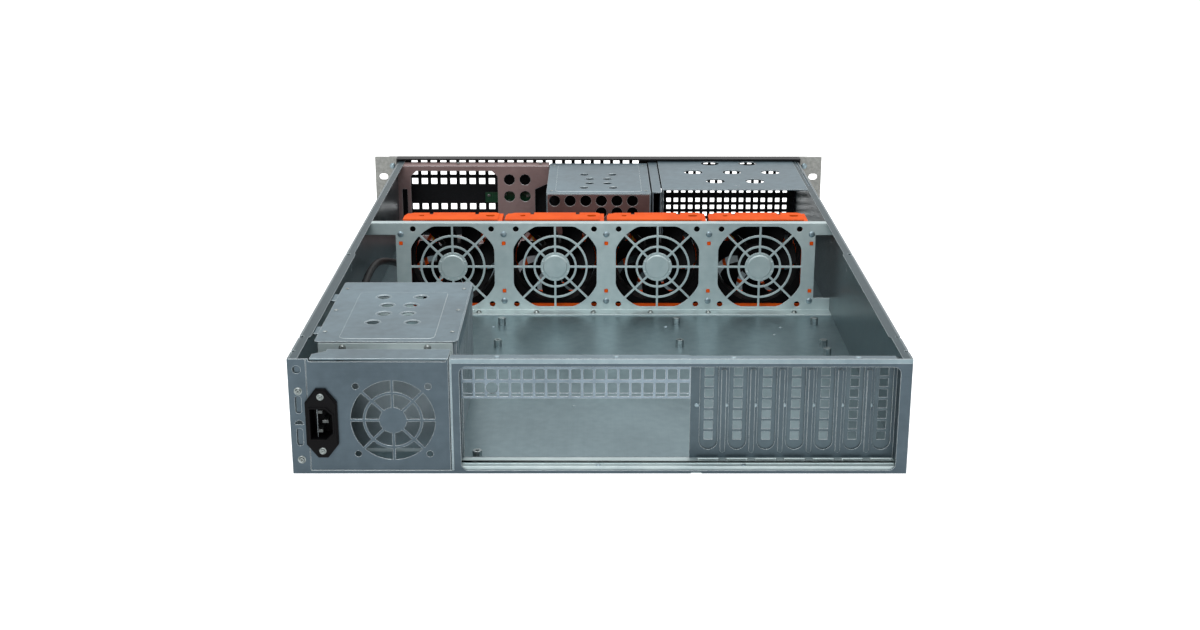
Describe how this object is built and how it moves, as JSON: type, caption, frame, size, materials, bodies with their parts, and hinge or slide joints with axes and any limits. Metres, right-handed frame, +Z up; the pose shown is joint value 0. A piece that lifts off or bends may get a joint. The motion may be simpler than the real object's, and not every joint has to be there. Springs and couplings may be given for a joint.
{
  "type": "empty rackmount server case",
  "caption": "Rackmount server case, lid off: folded tub, fan wall with spinning fans, vented rear panel, drive cages, rack ears and press buttons.",
  "frame": {"origin": "middle of the base, on the surface it rests on", "axes": "+X to the right seen from behind, +Y from the rear plane to the front panel, +Z up"},
  "size_m": [0.4826, 0.666, 0.088],
  "materials": {
    "zinc_steel": "galvanised sheet, dull",
    "grey_steel": "plated sheet, brown-grey",
    "ear_aluminium": "satin",
    "panel_black": "black powder coat",
    "orange_plastic": "moulded, matt",
    "black_plastic": "moulded, satin",
    "board_green": "coated laminate",
    "plated_contact": "plated",
    "post_brass": "nickel-plated brass",
    "lamp_plastic": "translucent",
    "lead_rubber": "matt sheath"
  },
  "bodies": {
    "case": {"chassis_tub": "zinc_steel", "rear_frame": "zinc_steel", "rear_plate": "zinc_steel", "power_inlet": "black_plastic", "inlet_pins": "plated_contact", "io_wall": "zinc_steel", "fan_wall": "zinc_steel", "fan_guides": "orange_plastic", "rear_cage_top": "zinc_steel", "rear_cage_side": "zinc_steel", "front_panel": "panel_black", "ear_left": "ear_aluminium", "ear_right": "ear_aluminium", "control_board": "board_green", "usb_ports": "plated_contact", "indicator_lamps": "lamp_plastic", "button_switches": "black_plastic", "supply_bracket": "grey_steel", "front_drive_cage": "zinc_steel", "bay_divider": "zinc_steel", "right_bay_top": "zinc_steel", "board_standoffs": "post_brass", "power_lead": "lead_rubber", "lead_plug": "black_plastic", "slot_cover_1": "zinc_steel", "slot_cover_2": "zinc_steel", "slot_cover_3": "zinc_steel", "slot_cover_4": "zinc_steel", "slot_cover_5": "zinc_steel", "slot_cover_6": "zinc_steel", "slot_cover_7": "zinc_steel", "fan_holder_1": "orange_plastic", "fan_frame_1": "black_plastic", "fan_holder_2": "orange_plastic", "fan_frame_2": "black_plastic", "fan_holder_3": "orange_plastic", "fan_frame_3": "black_plastic", "fan_holder_4": "orange_plastic", "fan_frame_4": "black_plastic"},
    "rotor_1": {"fan_rotor_1": "black_plastic"},
    "rotor_2": {"fan_rotor_2": "black_plastic"},
    "rotor_3": {"fan_rotor_3": "black_plastic"},
    "rotor_4": {"fan_rotor_4": "black_plastic"},
    "power_button": {"power_button": "black_plastic"},
    "reset_button": {"reset_button": "black_plastic"}
  },
  "joints": [
    {"name": "fan_1_spin", "type": "hinge", "parent": "case", "child": "rotor_1", "pos_m": [-0.13432, 0.075, 0.0437], "axis": [0, 1, 0], "continuous": true},
    {"name": "fan_2_spin", "type": "hinge", "parent": "case", "child": "rotor_2", "pos_m": [-0.04028, 0.075, 0.0437], "axis": [0, 1, 0], "continuous": true},
    {"name": "fan_3_spin", "type": "hinge", "parent": "case", "child": "rotor_3", "pos_m": [0.05376, 0.075, 0.0437], "axis": [0, 1, 0], "continuous": true},
    {"name": "fan_4_spin", "type": "hinge", "parent": "case", "child": "rotor_4", "pos_m": [0.1478, 0.075, 0.0437], "axis": [0, 1, 0], "continuous": true},
    {"name": "power_button_press", "type": "slide", "parent": "case", "child": "power_button", "axis": [0, -1, 0], "range_m": [0, 0.0015], "stiffness_N_per_m": 600},
    {"name": "reset_button_press", "type": "slide", "parent": "case", "child": "reset_button", "axis": [0, -1, 0], "range_m": [0, 0.0015], "stiffness_N_per_m": 600}
  ]
}
